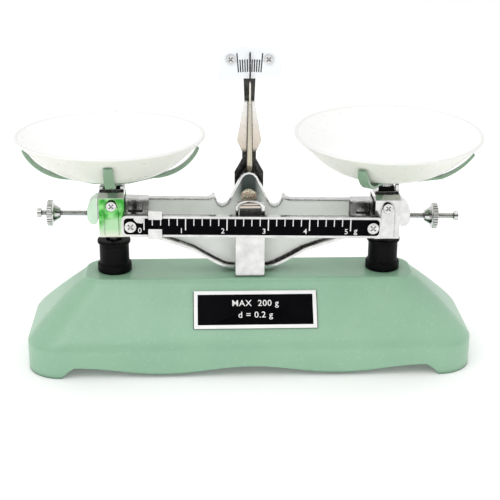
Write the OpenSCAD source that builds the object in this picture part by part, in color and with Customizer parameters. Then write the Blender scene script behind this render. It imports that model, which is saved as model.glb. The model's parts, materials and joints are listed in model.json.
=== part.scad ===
// Equal arm table balance with two lift-off pans, a beam on knife edges,
// a rider bar, balance nuts and a lower stay link that keeps the pans level.
// +X to the right, front is -Y, +Z up. Origin: on the table, under the middle.

/* [Beam] */
// Distance from the centre knife to each pan knife
arm = 77; // [74:0.5:80]
// Height of the three knife edges above the table
pivot_z = 88; // [87.5:0.1:88.5]
// Half depth of the thin web of the beam
web_half = 1.5; // [1.2:0.1:2]
// Half depth of the thin upper flange of the beam
rail_half = 2.2; // [2:0.1:3]
// Half depth of the thicker ends of the beam
end_half = 3.7; // [3:0.1:4.2]
// Half depth of the lower flange of the beam
belly_half = 6; // [5:0.1:7]
// Height of the threaded rods at the ends of the beam
rod_z = 81.4; // [80:0.1:84]
// Diameter of the threaded rods
rod_d = 3; // [2.5:0.1:3.2]
// Diameter of the balance nuts
nut_d = 14.6; // [12:0.1:15]
// Distance of the left nut's outer face from the middle
left_nut_x = 113.5; // [104:0.5:116]
// Distance of the right nut's outer face from the middle
right_nut_x = 107.1; // [104:0.5:116]
// Angle at which the unloaded beam rests, right end down
lean = 0.9; // [-1:0.1:1]
// Depth of the tare bore in the back of the beam's left end
tare_bore = 4.6; // [1:0.1:4.8]

/* [Rider bar] */
// Half length of the bar
bar_half = 72.2; // [71:0.1:73]
// Lower edge of the bar
bar_low = 74.1; // [73:0.1:75]
// Height of the bar
bar_h = 12.2; // [12:0.1:13.5]
// Width of the bright rim round the bar's black face
bar_rim = 1.4; // [1:0.1:2]
// Distance of the bar's middle to the right of the centre knife
bar_x = 1; // [0:0.1:1.5]
// Left edge of the rider at 0 g
zero_x = -58.8; // [-60:0.1:-57]
// Distance from the zero mark at which the rider stands
rider_at = 2.4; // [0:0.1:10]
// Width of the rider along the bar
rider_w = 7.6; // [6:0.1:8]

/* [Pans] */
// Outer radius of a pan
pan_r = 52.5; // [52:0.1:53]
// Height of a pan's rim above the underside of its cradle
pan_h = 28.3; // [27:0.1:29]
// Wall thickness of a pan
pan_wall = 1.8; // [1.4:0.1:2.2]
// Width of a cradle arm
arm_w = 5.3; // [4:0.1:7]
// Thickness of a cradle strip
strip_t = 1.4; // [1:0.1:1.5]
// Height of the left cradle above its carrier
left_stack = 3.1; // [3:0.1:4]
// Height of the right cradle above its carrier
right_stack = 6.1; // [5:0.1:7]
// Turn of the left cradle about its post
left_turn = 2; // [-45:0.5:45]
// Turn of the right cradle about its post
right_turn = -24.5; // [-45:0.5:45]
// Forward tilt of the left cradle and its pan
left_tilt = -0.9; // [-1:0.1:1]
// Forward tilt of the right cradle and its pan
right_tilt = 2.5; // [-2.5:0.1:2.5]

/* [Base] */
// Height of the flat top of the base
top_z = 48.7; // [48:0.1:49]
// Half length of the base at the table
base_x = 125.6; // [123:0.1:128]
// Half depth of the base at the table
base_y = 42; // [40:0.5:44]
// Half length of the flat top
top_x = 91.5; // [90:0.1:92]
// Half depth of the flat top
top_y = 15.4; // [15:0.1:17]
// Wall thickness of the hollow casting
wall = 3.2; // [2.5:0.1:3.5]
// Height of the lower link that holds the stems upright
stay_z = 22; // [21:0.5:24]

/* [Hidden] */
$fn = 64;
LEFT = -1;
RIGHT = 1;

// colours of the finishes
mint = "#98C0A3";
chrome = "silver";
steel = "gainsboro";
black = "#222222";
white = "whitesmoke";
agate = "#7A5A4A";
brass = "#B59A5A";

fit = 0.05;          // radial clearance of screws and pins in their holes
sleeve_top = 67.5;
cheek_in = 10.1;     // inner face of the column cheeks
cheek_out = 13.5;    // outer face of the column cheeks
cheek_half = 8.35;
window_half = 6.3;   // window of the column, and its distance from the middle
window_x = -0.3;
bar_front = -18.5;
bar_back = -15;
carrier_in = 9.9;    // inner face of the carrier plates
carrier_out = 12;    // outer face of the carrier plates
carrier_half = 7;
carrier_top = 96.5;
nut_len = 7.3;
rod_end = 117;
boss_end = 91;
lug_x = 67.2;        // scale bar screws, each side of the bar's middle
lug_z = 80.2;
lug_back = -12.4;
plate_back = 8.5;    // back of the dial plate, front of its bracket
ear_top = [99, 101.4];        // top of the ears of the left and the right saddle
block_top = [98.3, 99.6];     // top of the left and the right post block
tilt_room = 0.25;    // room above and below the tilted strips
reach = 49;          // length of a cradle arm
dial_screw_x = 10.45;
dial_screw_z = 168.7;
bracket_screw_z = [64, 76];

// ---------------------------------------------------------------- helpers

// extrudes a front view (X, Z) between two depths
module front(y0, y1) {
    translate([0, y1, 0]) rotate([90, 0, 0]) linear_extrude(y1 - y0) children();
}

// turns the beam and its parts about the centre knife to where the unloaded beam rests
module on_beam() {
    translate([0, 0, pivot_z]) rotate([0, lean, 0]) translate([0, 0, -pivot_z]) children();
}

// moves a carrier and its parts, which stay upright, with their end of the beam
module hung(side) {
    translate([side * arm * (cos(lean) - 1), 0, -side * arm * sin(lean)]) children();
}

// turns the lower link as the beam turns
module on_stay() {
    translate([0, 0, stay_z]) rotate([0, lean, 0]) translate([0, 0, -stay_z]) children();
}

// a box from its two corners
module block(low, high) {
    translate(low) cube(high - low);
}

// a rod along Y between two depths
module along_y(x, z, r, y0, y1) {
    translate([x, y1, z]) rotate([90, 0, 0]) cylinder(h = y1 - y0, r = r);
}

// a rod along X
module along_x(x0, x1, y, z, r) {
    translate([x0, y, z]) rotate([0, 90, 0]) cylinder(h = x1 - x0, r = r);
}

// a screw along Y: its head stands in front of y_face, its shank runs back from it
module screw_y(x, z, head_r, head_h, r, y_face, length) {
    difference() {
        union() {
            along_y(x, z, head_r, y_face - head_h, y_face);
            along_y(x, z, r, y_face - 0.2, y_face + length);
        }
        cross_slot(x, y_face - head_h, z, head_r);
    }
}

// the cross recess of a screw head that faces -Y
module cross_slot(x, y, z, head_r) {
    for (turn = [45, 135])
        translate([x, y, z]) rotate([0, turn, 0])
            block([-0.6 * head_r, -0.5, -0.12 * head_r], [0.6 * head_r, 0.45, 0.12 * head_r]);
}

function mirrored(points) = concat(points, [for (i = [len(points) - 1:-1:0]) [-points[i][0], points[i][1]]]);

// ---------------------------------------------------------------- base

// how far a side has come out at a height, from 0 at the flat top to 1 at the skirt
function swell(z, skirt_z, power) =
    let (t = max(0, min(1, (z - skirt_z) / (top_z - skirt_z))))
    pow(1 - pow(t, power), 1 / power);
function half_x(z) = top_x + (base_x - top_x) * swell(z, 16.5, 1.1);
// the front and the back are flat slopes that turn softly into the upright skirt
turn_low = 13;
turn_high = 23;
turn_mid = (turn_low + turn_high) / 2;
slope_in = (base_y - top_y) / (top_z - turn_mid);
function half_y(z) = base_y - slope_in * (z < turn_low ? 0
    : z < turn_high ? pow(z - turn_low, 2) / (2 * (turn_high - turn_low)) : z - turn_mid);
function corner(z) = 9 + 11 * swell(z, 10, 1.75);

CORNER_STEPS = 10;

// one level of the casting: a rectangle with round corners, anticlockwise
function ring(z, hx, hy, r) = [
    for (q = [0:3]) for (i = [0:CORNER_STEPS])
        let (a = 90 * q + 90 * i / CORNER_STEPS,
            sx = (q == 0 || q == 3) ? 1 : -1,
            sy = (q < 2) ? 1 : -1)
        [sx * (hx - r) + r * cos(a), sy * (hy - r) + r * sin(a), z]
];

outer_levels = [0, 10, 15, 18, 21, 25, 30, 35, 40, 44, 46.5, 48, top_z];
inner_levels = [0, 10, 15, 18, 21, 25, 30, 35, 40, 43, 45];

// a closed solid through the casting's levels, drawn in by a wall thickness
module loft_at(levels, inset, drop) {
    rings = [for (z = levels) ring(z - (z == levels[0] ? drop : 0), half_x(z + 0.7 * inset) - inset,
        half_y(z + 0.7 * inset) - inset, max(4, corner(z) - inset))];
    n = len(rings[0]);
    m = len(rings);
    points = [for (level = rings) for (p = level) p];
    sides = [for (k = [0:m - 2]) for (i = [0:n - 1])
        let (j = (i + 1) % n)
        [k * n + i, (k + 1) * n + i, (k + 1) * n + j, k * n + j]];
    bottom = [for (i = [0:n - 1]) i];
    top = [for (i = [n - 1:-1:0]) (m - 1) * n + i];
    polyhedron(points = points, faces = concat([bottom, top], sides));
}

// the wavy lower edge along the front and the back
wave_end = 98;
function wave(x) = 4.1 + 2.1 * cos(360 * x / wave_end);
module skirt_wave() {
    front(-base_y - 5, base_y + 5)
        polygon(concat([[-wave_end - 7, -3], [-wave_end - 6.5, 0]],
            [for (x = [-wave_end:7:wave_end]) [x, wave(x)]],
            [[wave_end + 6.5, 0], [wave_end + 7, -3]]));
}

module base_shell() {
    color(mint) difference() {
        union() {
            difference() {
                loft_at(outer_levels, 0, 0);
                loft_at(inner_levels, wall, 2);
            }
            // cast pads that carry the weight at the four corners
            for (sx = [-1, 1]) for (sy = [-1, 1])
                translate([sx * 110, sy * 28, 0]) cylinder(h = 22, r = 5);
        }
        skirt_wave();
        // low arch in each end
        translate([0, 0, -16]) along_x(-base_x - 5, base_x + 5, 0, 0, 20.5);
        for (side = [LEFT, RIGHT])
            translate([side * arm, 0, 30]) cylinder(h = 30, r = 5);
        for (y = [-1, 1]) translate([0, y * 6, 30]) cylinder(h = 30, r = 1.5 + fit);
        for (x = [-1, 1]) translate([x * 13, 0, 30]) cylinder(h = 30, r = 1.5 + fit);
    }
}

// the label's frame lies along the front slope
plate_x = 2.5;
plate_z = 34.4;
plate_tilt = atan2(1, slope_in);
module rating_plate() {
    color(black) translate([plate_x, -half_y(plate_z), plate_z]) rotate([plate_tilt, 0, 0])
        block([-34.7, -11, 0.02], [34.7, 11, 0.6]);
}

module sleeve(side) {
    color(black) translate([side * arm, 0, 0]) rotate_extrude() polygon([
        [4.6, top_z], [9.7, top_z], [9.7, top_z + 4.3], [9, top_z + 5], [8.4, top_z + 5.2],
        [8.4, sleeve_top - 2.4], [9.4, sleeve_top - 2], [9.4, sleeve_top - 0.4],
        [9, sleeve_top], [4.6, sleeve_top]]);
}

// ---------------------------------------------------------------- column

module arch(half, low, spring, rise) {
    polygon(concat([[half, low]],
        [for (a = [0:10:180]) [half * cos(a), spring + rise * sin(a)]],
        [[-half, low]]));
}

module column() {
    color(chrome) difference() {
        union() {
            for (side = [-1, 1])
                front(min(side * cheek_in, side * cheek_out), max(side * cheek_in, side * cheek_out))
                    arch(cheek_half, top_z, 90.4, 3.4);
            block([-4, -cheek_in, top_z], [4, cheek_in, top_z + 3.3]);
        }
        front(-cheek_out - 1, cheek_out + 1) translate([window_x, 0]) arch(window_half, 84, 89.9, 2.9);
        for (y = [-1, 1]) translate([0, y * 6, top_z - 1]) cylinder(h = 9, r = 1.5 + fit);
        for (z = bracket_screw_z) along_y(0, z, 1.25 + fit, cheek_in - 1, cheek_out + 1);
    }
}

module column_screws() {
    color(steel) for (y = [-1, 1]) translate([0, y * 6, 0]) {
        translate([0, 0, 42.8]) cylinder(h = 2.2, r = 3.2);
        translate([0, 0, 45]) cylinder(h = top_z + 3.2 - 45, r = 1.5);
    }
}

// V blocks under the centre knife, each closed by an end plate
stone = window_half + window_x - 0.05;
module centre_bearings() {
    color(agate) for (turn = [0, 180]) rotate([0, 0, turn]) {
        front(-12.4, -cheek_in)
            polygon([[-stone, 84], [stone, 84], [stone, 89.2], [2.6, 89.2], [0, pivot_z - 0.05],
                [-2.6, 89.2], [-stone, 89.2]]);
        front(-13.1, -12.3) arch(stone, 84, 89.7, 2.7);
    }
}

// ---------------------------------------------------------------- dial

bracket_outline = [[8, 58], [8.2, 103.8], [3.9, 111.6], [3.9, 115.7], [6.8, 122.2], [2.8, 145],
    [3.3, 157], [3.3, 163], [13.4, 165], [13.4, 172.4]];
module dial_bracket() {
    color(chrome) difference() {
        front(plate_back, cheek_in) polygon(mirrored(bracket_outline));
        along_y(0, 90, 5.6, plate_back - 1, cheek_in + 1);
        for (z = bracket_screw_z) along_y(0, z, 1.25 + fit, plate_back - 1, cheek_in + 1);
        for (x = [-1, 1]) along_y(x * dial_screw_x, dial_screw_z, 1.2 + fit, plate_back - 1, cheek_in + 1);
    }
}

module bracket_screws() {
    color(steel) for (z = bracket_screw_z) {
        along_y(0, z, 2.4, cheek_out, cheek_out + 1.8);
        along_y(0, z, 1.25, plate_back, cheek_out + 0.2);
    }
}

dial_half = 17.2;
dial_low = 157.9;
module dial_plate() {
    color(white) difference() {
        front(plate_back - 1.2, plate_back)
            polygon(concat([[dial_half, dial_low], [dial_half + 0.2, 173]],
                [for (a = [80:-10:-80]) [dial_half * sin(a), 173.4 + 2.4 * cos(a)]],
                [[-dial_half - 0.2, 173], [-dial_half, dial_low]]));
        for (x = [-1, 1]) along_y(x * dial_screw_x, dial_screw_z, 1.2 + fit, 0, 20);
    }
}

module dial_screws() {
    color(steel) for (x = [-1, 1])
        screw_y(x * dial_screw_x, dial_screw_z, 2.5, 1.1, 1.2, plate_back - 1.2, 2.7);
}

// ---------------------------------------------------------------- stay link

module stay_bracket() {
    color(steel) difference() {
        union() {
            block([-17, -7, 42.4], [17, 7, 45]);
            for (side = [-1, 1])
                front(side < 0 ? -6.4 : 3.6, side < 0 ? -3.6 : 6.4)
                    polygon([[-6, 42.4], [6, 42.4], [4, stay_z - 3], [2, stay_z - 5],
                        [-2, stay_z - 5], [-4, stay_z - 3]]);
        }
        along_y(0, stay_z, 1.5 + fit, -8, 8);
        for (x = [-1, 1]) translate([x * 13, 0, 40]) cylinder(h = 8, r = 1.5 + fit);
        for (y = [-1, 1]) translate([0, y * 6, 40]) cylinder(h = 8, r = 3.5);
    }
}

module stay_bracket_screws() {
    color(steel) for (x = [-1, 1]) translate([x * 13, 0, 0]) {
        translate([0, 0, 40.4]) cylinder(h = 2, r = 2.8);
        translate([0, 0, 42]) cylinder(h = top_z - 0.4 - 42, r = 1.5);
    }
}

module stay_pivot_pin() {
    color(steel) along_y(0, stay_z, 1.5, -7.2, 7.2);
}

module stay_bar() {
    color(steel) difference() {
        union() {
            block([-arm + 7, -3, stay_z - 3.5], [arm - 7, 3, stay_z + 3.5]);
            for (side = [LEFT, RIGHT]) for (y = [-1, 1])
                front(y < 0 ? -3.4 : 1.8, y < 0 ? -1.8 : 3.4)
                    translate([side * arm, stay_z]) union() {
                        circle(r = 3.5);
                        translate([side < 0 ? 0 : -8, -3.5]) square([8, 7]);
                    }
        }
        along_y(0, stay_z, 1.5 + fit, -8, 8);
        for (side = [LEFT, RIGHT]) {
            along_y(side * arm, stay_z, 1.5 + fit, -8, 8);
            translate([side * arm, 0, stay_z]) block([-6.6, -1.8, -4], [6.6, 1.8, 4]);
        }
    }
}

module stay_end_pins() {
    color(steel) for (side = [LEFT, RIGHT]) along_y(side * arm, stay_z, 1.5, -4, 4);
}

// ---------------------------------------------------------------- beam

// right half of the outline, from the top of the hump down and out, then back along the belly
hump = [[0, 107], [2.7, 106.2], [4.6, 104.2], [6.1, 101], [7.7, 98], [9, 95.1], [10.3, 92.1], [11.9, 89.2],
    [12.9, 88], [14.3, 87.2], [15.7, 87.3], [16.9, 88.1], [18, 90.2], [18.8, 92.6], [19.7, 93.7],
    [20.6, 93.1], [21.7, 91.8], [23.6, 91.2], [86, 91.2]];
belly = [[58, 70.6], [48, 67], [39.4, 64.2], [31, 61], [25.3, 57.5], [19.7, 54.3], [14, 51.4],
    [11, 50.6], [7, 50.4]];
hump_in = [[0, 105.9], [2.1, 105.3], [3.7, 103.7], [5.2, 100.6], [6.8, 97.6], [8.1, 94.7], [9.4, 91.7],
    [11.1, 88.7], [12.4, 87.1], [14, 86.2], [16, 86.3], [17.7, 87.6], [18.9, 89.8], [19.7, 92.1],
    [20.7, 91.1], [22.6, 90.4], [57, 90.4]];
belly_in = [[57, 73], [47.2, 69.2], [38.6, 66.4], [30.2, 63.2], [24.4, 59.8], [18.9, 56.6],
    [13.4, 53.8], [10.8, 53], [7, 52.8]];
beam_end = [[57, 91.2], [68.4, 91.4], [arm + 9, 91.2], [arm + 9, 79], [66, 79], [57, 71.2]];
belly_edge = concat([[66, 79]], belly);

belly_t = 1.6;
beam_x = -0.6;       // middle of the cast outline
module belly_band() {
    polygon(concat(belly_edge, [for (i = [len(belly_edge) - 1:-1:0]) belly_edge[i] + [0, belly_t]]));
}

module beam() {
    color(chrome) difference() {
        union() {
            translate([beam_x, 0, 0]) {
                front(-web_half, web_half) polygon(mirrored(concat(hump, [[86, 79]], belly_edge)));
                front(-rail_half, rail_half) difference() {
                    polygon(mirrored(concat(hump, [[86, 79]], belly_edge)));
                    polygon(mirrored(concat(hump_in, belly_in)));
                }
            }
            for (side = [0, 1]) mirror([side, 0, 0]) {
                front(-belly_half, belly_half) belly_band();
                front(-end_half, end_half) polygon(beam_end);
                // end boss that holds the threaded rod
                front(-5, 5) polygon([[arm + 8.2, 91.8], [arm + 9.6, 91.6], [89.8, 89], [boss_end, 85.6],
                    [boss_end, 79.6], [89.4, 77], [arm + 9.6, 76.2], [arm + 8.2, 77.6]]);
                // shallow pocket frame beside the carrier
                front(-4.4, -end_half + 0.5) difference() {
                    polygon([[57.5, 82], [69.6, 82], [69.6, 91.4], [56.5, 91.4]]);
                    polygon([[60.2, 83.6], [68.2, 83.6], [68.2, 90], [59.4, 90]]);
                }
            }
            // lugs for the scale bar: a pad in front of the carrier on an arm beside it
            for (side = [LEFT, RIGHT]) translate([bar_x + side * lug_x, 0, 0]) {
                block([-2.4, bar_back, 77.4], [2.4, lug_back, 83]);
                block([side < 0 ? -0.2 : -2.4, bar_back, 77.4], [side < 0 ? 2.4 : 0.2, -end_half + 0.5, 83]);
            }
            // boss for the pointer on the back of the hump
            along_y(0, 99, 3, 0, 4.5);
            // wide middle that carries the centre knife
            front(-6, 4.4) polygon([[-3.6, 86], [3.6, 86], [3.6, 96], [2.6, 97], [-3.6, 97]]);
        }
        // notch that clears the neck of the column
        block([-7, -20, 45], [7, 20, 56.5]);
        // seats of the three knives
        front(-20, 20) knife_down(fit / 2);
        for (side = [LEFT, RIGHT]) translate([side * arm, 0, 0]) front(-20, 20) knife_up(fit / 2);
        // pockets beside the carriers
        for (side = [0, 1]) mirror([side, 0, 0])
            front(-5, -2.4) polygon([[60.2, 83.6], [68.2, 83.6], [68.2, 90], [59.4, 90]]);
        along_y(0, 99, 1.25 + fit, 1, 8);
        along_y(boss_x, 94.2, 1.5 + fit, -8, -2);
        for (side = [LEFT, RIGHT]) {
            along_y(bar_x + side * lug_x, lug_z, 1.25 + fit, -20, lug_back + 0.1);
            along_x(side < 0 ? -boss_end - 1 : 83, side < 0 ? -83 : boss_end + 1, 0, rod_z, rod_d / 2 + fit);
        }
        along_y(-62.5, 87, 3.6, end_half - tare_bore, end_half + 1);
    }
}

// knife sections: the edge of the centre knife points down, those of the pans point up
module knife_down(grow) {
    polygon([[0, pivot_z - grow], [2.4 + grow, pivot_z + 3], [2.4 + grow, pivot_z + 3.5 + grow],
        [-2.4 - grow, pivot_z + 3.5 + grow], [-2.4 - grow, pivot_z + 3]]);
}
module knife_up(grow) {
    polygon([[0, pivot_z + grow], [2.4 + grow, pivot_z - 3.6], [2.4 + grow, pivot_z - 4 - grow],
        [-2.4 - grow, pivot_z - 4 - grow], [-2.4 - grow, pivot_z - 3.6]]);
}

module centre_knife() {
    color(steel) front(-12.2, 12.2) knife_down(0);
}

module end_knife(side) {
    color(steel) translate([side * arm, 0, 0]) front(-9.4, 9.4) knife_up(0);
}

boss_x = -0.8;
module knife_boss() {
    color(brass) difference() {
        union() {
            along_y(boss_x, 94.2, 4.35, -7.6, -6);
            along_y(boss_x, 94.2, 1.5, -6.4, -2.4);
        }
        front(-20, 20) knife_down(0.1);
    }
}

pointer_outline = [[4, 96], [4, 104], [1.9, 108], [1.2, 145], [0.55, 146], [0.35, 173]];
// set upright on its screw, so that it points to the middle of the dial
module pointer() {
    translate([0, 0, 99]) rotate([0, -lean, 0]) translate([0, 0, -99]) color(chrome) difference() {
        union() {
            front(4.5, 5.7) polygon(mirrored(pointer_outline));
            front(4, 4.6) polygon([[-0.5, 110], [0.5, 110], [0.4, 144], [-0.4, 144]]);
        }
        along_y(0, 99, 1.25 + fit, 3, 8);
    }
}

module pointer_screw() {
    color(steel) union() {
        along_y(0, 99, 2.2, 5.7, 6.9);
        along_y(0, 99, 1.25, 1.2, 5.9);
    }
}

module pill(low, high, half, r) {
    polygon([for (c = [[half - r, high - r, 0], [-half + r, high - r, 90], [-half + r, low + r, 180],
        [half - r, low + r, 270]]) for (a = [0:15:90]) [c[0] + r * cos(c[2] + a), c[1] + r * sin(c[2] + a)]]);
}

module scale_bar() {
    color(chrome) difference() {
        front(bar_front, bar_back)
            translate([bar_x, 0]) pill(bar_low, bar_low + bar_h, bar_half, 2.4);
        front(bar_front - 1, bar_front + 0.8) difference() {
            translate([bar_x, 0])
                pill(bar_low + bar_rim, bar_low + bar_h - bar_rim, bar_half - bar_rim, 2);
            zero_stop(0);
        }
        for (side = [LEFT, RIGHT]) along_y(bar_x + side * lug_x, lug_z, 1.25 + fit, -20, -10);
    }
}

// tab of the rim that stops the rider at the zero mark
module zero_stop(grow) {
    x = zero_x - 0.4;
    z = bar_low + bar_h - bar_rim;
    polygon([[x + grow, z + 1], [x + grow, z - 2.4 - grow], [x - 0.8, z - 3 - grow],
        [x - 3.6, z - 2.6 - grow], [x - 5.2 - grow, z - 1], [x - 5.4 - grow, z + 1]]);
}

module scale_face() {
    edge = bar_rim + fit;
    color(black) difference() {
        front(bar_front + 0.25, bar_front + 0.8) difference() {
            translate([bar_x, 0])
                pill(bar_low + edge, bar_low + bar_h - edge, bar_half - edge, 1.95);
            zero_stop(fit);
        }
        for (side = [LEFT, RIGHT]) along_y(bar_x + side * lug_x, lug_z, 1.25 + fit, -20, -10);
    }
}

module scale_screws() {
    color(steel) for (side = [LEFT, RIGHT])
        screw_y(bar_x + side * lug_x, lug_z, 3.2, 1.5, 1.25, bar_front + 0.25, 5.6);
}

module rod(side) {
    color(steel) along_x(side < 0 ? -rod_end - 1 : 84, side < 0 ? -84 : rod_end + 1, 0, rod_z, rod_d / 2);
}

module rod_stops() {
    color(steel) for (side = [LEFT, RIGHT]) difference() {
        along_x(side < 0 ? -rod_end - 2.2 : rod_end, side < 0 ? -rod_end : rod_end + 2.2, 0, rod_z, 2.6);
        along_x(side < 0 ? -rod_end - 1 - fit : rod_end - 1, side < 0 ? -rod_end + 1 : rod_end + 1 + fit,
            0, rod_z, rod_d / 2 + fit);
    }
}

module nut(side, outer) {
    color(chrome) translate([side * outer, 0, rod_z]) rotate([0, -side * 90, 0]) difference() {
        rotate_extrude() polygon([[0, 0], [nut_d / 2 - 0.4, 0], [nut_d / 2, 0.4], [nut_d / 2, 2.8],
            [nut_d / 2 - 0.4, 3.2], [5.6, 3.4], [3, nut_len], [0, nut_len]]);
        translate([0, 0, -1]) cylinder(h = nut_len + 2, r = rod_d / 2 + fit);
    }
}

// a strap bent round the bar, open in front so that the marks show
module rider() {
    x0 = zero_x + rider_at;
    x1 = x0 + rider_w;
    gap = 0.2;
    t = 0.8;
    high = bar_low + bar_h;
    front_y = bar_front - gap;
    back_y = bar_back + gap;
    color(chrome) union() {
        block([x0, front_y - t, high - 1.8], [x1, front_y, high + 3.3]);
        block([x0, front_y - t, high + gap], [x1, back_y + t, high + gap + 1.2]);
        block([x0, back_y, bar_low - gap - t], [x1, back_y + t, high + gap + 1.2]);
        block([x0, front_y - t, bar_low - gap - t], [x1, back_y + t, bar_low - gap]);
        block([x0, front_y - t, bar_low - gap - t], [x1, front_y, bar_low + 5]);
    }
}

// ---------------------------------------------------------------- carriers

module carrier(side) {
    color(chrome) translate([side * arm, 0, 0]) difference() {
        union() {
            for (y = [-1, 1])
                front(y < 0 ? -carrier_out : carrier_in, y < 0 ? -carrier_in : carrier_out)
                    polygon([[-carrier_half, 71.5], [carrier_half, 71.5], [carrier_half, 94],
                        [-carrier_half, 94]]);
            // bridge with a sloping front and back
            translate([-carrier_half, 0, 0]) rotate([90, 0, 90]) linear_extrude(2 * carrier_half)
                polygon([[-carrier_out, 92.6], [-carrier_out, 94.2], [-9, carrier_top], [9, carrier_top],
                    [carrier_out, 94.2], [carrier_out, 92.6]]);
            // raised tongues
            for (y = [-1, 1])
                front(y < 0 ? -carrier_out - 0.8 : carrier_out - 0.1,
                        y < 0 ? -carrier_out + 0.1 : carrier_out + 0.8)
                    arch(3.7, 72.2, 87.6, 3.4);
            // floor that carries the stem
            block([-5, -carrier_in - 0.1, 74.6], [5, carrier_in + 0.1, 76.6]);
        }
        translate([0, 0, 70]) cylinder(h = 10, r = 1.5 + fit);
        translate([0, 0, 90]) cylinder(h = 10, r = 1.5 + fit);
        along_y(0, pivot_z + 2, 1.25 + fit, -20, 20);
    }
}

module carrier_bearings(side) {
    color(agate) translate([side * arm, 0, 0]) for (y = [-1, 1]) difference() {
        front(y < 0 ? -carrier_in : 5.4, y < 0 ? -5.4 : carrier_in)
            polygon([[-3.4, 86.4], [-1.6, 86.4], [0, pivot_z + 0.05], [1.6, 86.4], [3.4, 86.4],
                [3.4, 92.2], [-3.4, 92.2]]);
        along_y(0, pivot_z + 2, 1.25 + fit, y < 0 ? -20 : 6.5, y < 0 ? -6.5 : 20);
    }
}

module carrier_screws(side) {
    color(steel) translate([side * arm, 0, 0]) for (turn = [0, 180]) rotate([0, 0, turn])
        screw_y(0, pivot_z + 2, 2.75, 1.2, 1.25, -carrier_out - 0.8, 6);
}

module stem(side) {
    color(steel) translate([side * arm, 0, 0]) difference() {
        union() {
            translate([0, 0, stay_z + 5]) cylinder(h = 74.6 - stay_z - 5, r = 2.5);
            translate([0, 0, 72]) cylinder(h = 4.4, r = 1.5);
            front(-1.5, 1.5) union() {
                translate([0, stay_z]) circle(r = 3.4);
                translate([-2.4, stay_z]) square([4.8, 8]);
            }
        }
        along_y(0, stay_z, 1.5 + 0.08, -5, 5);
    }
}

function side_of(pair, side) = side < 0 ? pair[0] : pair[1];

// height of the underside of a cradle
function strip_z(side) = carrier_top + side_of([left_stack, right_stack], side);

module post(side) {
    color(black) translate([side * arm, 0, 0]) union() {
        block([-4.4, -4.5, carrier_top + 0.8], [4.4, 4.5, side_of(block_top, side)]);
        translate([0, 0, 92.8]) cylinder(h = strip_z(side) + 4 - 92.8, r = 1.5);
    }
}

module saddle(side) {
    color(steel) translate([side * arm, 0, 0]) difference() {
        union() {
            block([-6.8, -5.6, carrier_top], [6.8, 3, carrier_top + 0.8]);
            for (x = [-6.8, 4.8]) block([x, -5.6, carrier_top], [x + 2, -3.4, side_of(ear_top, side)]);
        }
        translate([0, 0, 90]) cylinder(h = 10, r = 1.5 + fit);
    }
}

module clamp_nut(side) {
    low = side_of(block_top, side);
    color(steel) translate([side * arm, 0, low]) difference() {
        cylinder(h = strip_z(side) - tilt_room - low, r = 4.6);
        translate([0, 0, -1]) cylinder(h = 6, r = 1.5 + fit);
    }
}

// a cradle and its pan, drawn from the cradle's underside up, lean forward together
// about the point where its two strips meet
module leaning(side, tilt) {
    translate([side * arm, 0, strip_z(side) + strip_t]) rotate([tilt, 0, 0])
        translate([0, 0, -strip_t]) children();
}

// the outer curve of a strip: radius and height of its centre, and its own radius
droop_curve = [23.2, 31.4, 28.5];
front_curve = droop_curve + [0, strip_t, 0];
side_curve = [11, 46.1, 45.6];
cross_curve = [10, strip_t + 48, 48];

function on_curve(curve, inset, a) = [curve[0], curve[1]] + (curve[2] - inset) * [sin(a), -cos(a)];

// a strip's section from the middle outwards; flat is the height of its flat middle
module strip_section(curve, flat, start) {
    tip = asin((reach - curve[0]) / curve[2]);
    polygon(concat([[0, flat], [min(curve[0], 10), flat]],
        [for (i = [0:16]) on_curve(curve, 0, start + (tip - start) * i / 16)],
        [for (i = [16:-1:0]) on_curve(curve, strip_t, start + (tip - start) * i / 16)],
        [[min(curve[0], 10), flat + strip_t], [0, flat + strip_t]]));
}

// two opposite arms bent from one strip
module strip(turn, curve, flat, start) {
    difference() {
        intersection() {
            rotate_extrude() strip_section(curve, flat, start);
            translate([0, 0, -10]) linear_extrude(50) rotate(turn) union() {
                circle(r = 7);
                for (x = [-1, 1]) translate([x * (reach - arm_w / 2), 0]) circle(r = arm_w / 2);
                square([2 * reach - arm_w, arm_w], center = true);
            }
        }
        translate([0, 0, -10]) cylinder(h = 20, r = 1.5 + tilt_room);
    }
}

// the left one droops and leaves the pan to the cross strip; the right one is cranked up to it
module left_cradle() {
    color(mint) leaning(LEFT, left_tilt) strip(left_turn, droop_curve, 0, 0);
}
module right_cradle() {
    color(mint) leaning(RIGHT, right_tilt) strip(right_turn, side_curve, 0, 28);
}

module cross_strip(side, turn, tilt) {
    curve = side_of([cross_curve, front_curve], side);
    color(mint) leaning(side, tilt) strip(turn + 90, curve, strip_t, 0);
}

module cradle_screw(side) {
    color(steel) translate([side * arm, 0, strip_z(side) + 2 * strip_t + tilt_room]) difference() {
        cylinder(h = 1.6, r = 3);
        translate([0, 0, -1]) cylinder(h = 2.2, r = 1.5 + fit);
    }
}

// ---------------------------------------------------------------- pans

// outer side of the bowl: a flat bottom, a curve and a straight slope up to the rim
pan_bottom = 5.7;
pan_flat = 16;
bowl_r = 34.8;
bowl_turn = 44;
function bowl(inset) = [for (i = [0:8]) let (a = bowl_turn * i / 8)
    [pan_flat + (bowl_r - inset) * sin(a), pan_bottom + bowl_r - (bowl_r - inset) * cos(a)]];

module pan_section() {
    inner = bowl(pan_wall);
    polygon(concat([[0, pan_bottom]], bowl(0),
        [[pan_r - 0.3, pan_h - 1.4], [pan_r, pan_h - 0.7], [pan_r - 0.3, pan_h - 0.2],
        [pan_r - 1, pan_h], [pan_r - 1.9, pan_h - 0.2]],
        [for (i = [8:-1:0]) inner[i]], [[0, pan_bottom + pan_wall]]));
}

module pan(side, tilt) {
    color(white) leaning(side, tilt) rotate_extrude($fn = 128) pan_section();
}

// ---------------------------------------------------------------- assembly

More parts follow.
